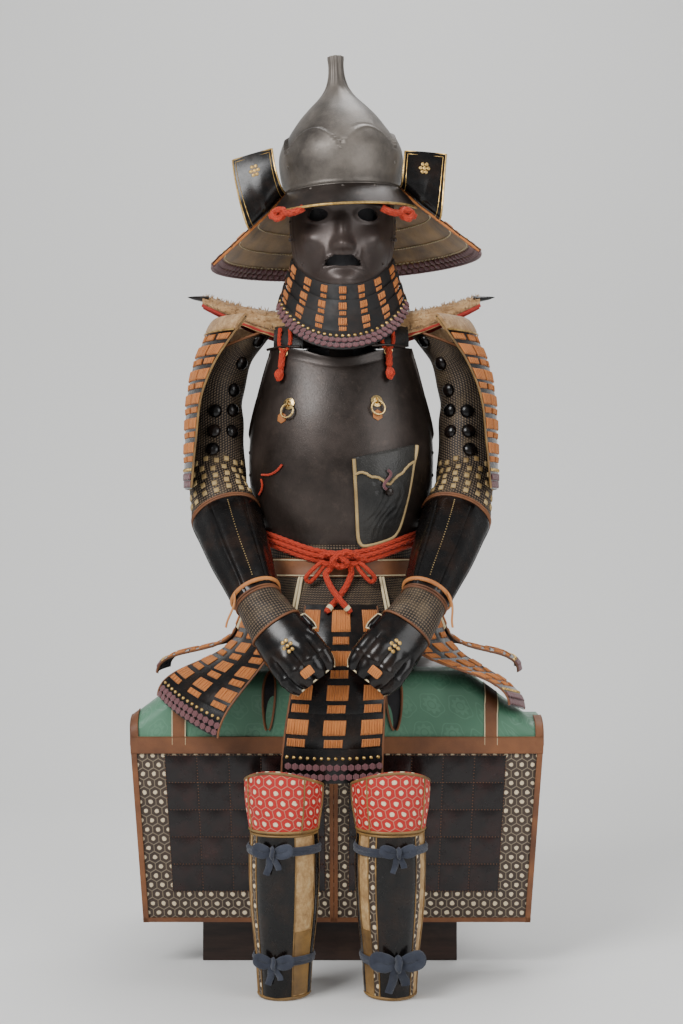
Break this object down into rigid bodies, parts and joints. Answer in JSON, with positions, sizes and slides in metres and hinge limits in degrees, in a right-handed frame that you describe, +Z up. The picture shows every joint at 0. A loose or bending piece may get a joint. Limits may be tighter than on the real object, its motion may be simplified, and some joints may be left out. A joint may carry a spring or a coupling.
{
  "type": "samurai armour seated on a storage chest and stand",
  "caption": "Japanese samurai armour with helmet, iron mask, smooth iron cuirass, laced lames, armoured sleeves and shin guards, seated on a lacquered storage chest.",
  "frame": {"origin": "on the floor, at the middle of the bounding box seen from above", "axes": "+Z up, the armour faces -Y, its own left arm is at +X"},
  "size_m": [0.676, 0.7151, 1.5245],
  "materials": {
    "iron": "russet, aged",
    "lacquer": "gloss black lacquer",
    "laced_lames": "black lacquered lames laced with orange cord",
    "hide": "rough tan hide",
    "mail": "brown mail sewn on cloth",
    "red_cord": "braided silk cord",
    "brass": "aged",
    "chest_lacquer": "dark brown lacquer",
    "stand_wood": "dark stain",
    "silk": "green damask silk",
    "printed_leather": "printed leather with lacquered plates",
    "red_leather": "red leather over hexagon plates",
    "tie_cloth": "blue-grey cotton"
  },
  "bodies": {
    "root": {"chest": "chest_lacquer", "stand": "stand_wood", "helmet_bowl": "iron", "helmet_brim": "iron", "turnback_l": "lacquer", "turnback_r": "lacquer", "neck_guard": "laced_lames", "mask": "iron", "throat_guard": "laced_lames", "cuirass_front": "iron", "cuirass_back": "lacquer", "shoulder_strap_l": "lacquer", "shoulder_strap_r": "lacquer", "toggle_l": "red_cord", "toggle_r": "red_cord", "staple_l": "brass", "staple_r": "brass", "pouch": "lacquer", "side_lace_a": "red_cord", "side_lace_b": "red_cord", "waist_cord": "red_cord", "waist_knot": "red_cord", "waist_tail_l": "red_cord", "waist_tail_r": "red_cord", "waist_skirt": "mail", "tasset_front": "laced_lames", "tasset_front_l": "laced_lames", "tasset_front_r": "laced_lames", "tasset_side_l": "laced_lames", "tasset_side_r": "laced_lames", "tasset_back_l": "laced_lames", "tasset_back_r": "laced_lames", "shoulder_guard_l": "laced_lames", "shoulder_guard_r": "laced_lames", "shoulder_pad_l": "hide", "shoulder_pad_r": "hide", "sleeve_l": "mail", "sleeve_r": "mail", "forearm_l": "lacquer", "forearm_r": "lacquer", "cuff_l": "mail", "cuff_r": "mail", "hand_guard_l": "lacquer", "hand_guard_r": "lacquer", "thumb_guard_l": "lacquer", "thumb_guard_r": "lacquer", "thigh_silk": "silk", "thigh_panel_l": "printed_leather", "thigh_panel_r": "printed_leather", "shin_guard_l": "lacquer", "shin_guard_r": "lacquer", "knee_cap_l": "red_leather", "knee_cap_r": "red_leather", "shin_tie_upper_l": "tie_cloth", "shin_tie_upper_r": "tie_cloth", "shin_tie_lower_l": "tie_cloth", "shin_tie_lower_r": "tie_cloth"},
    "ring_l": {"ring_l": "brass"},
    "ring_r": {"ring_r": "brass"}
  },
  "joints": [
    {"name": "chest_ring_l", "type": "hinge", "parent": "root", "child": "ring_l", "pos_m": [-0.08101, -0.09859, 0.92222], "axis": [-0.8586, 0.5126, 0], "range_deg": [0, 85]},
    {"name": "chest_ring_r", "type": "hinge", "parent": "root", "child": "ring_r", "pos_m": [0.06678, -0.11054, 0.92639], "axis": [-0.9467, -0.3222, 0], "range_deg": [0, 85]}
  ]
}
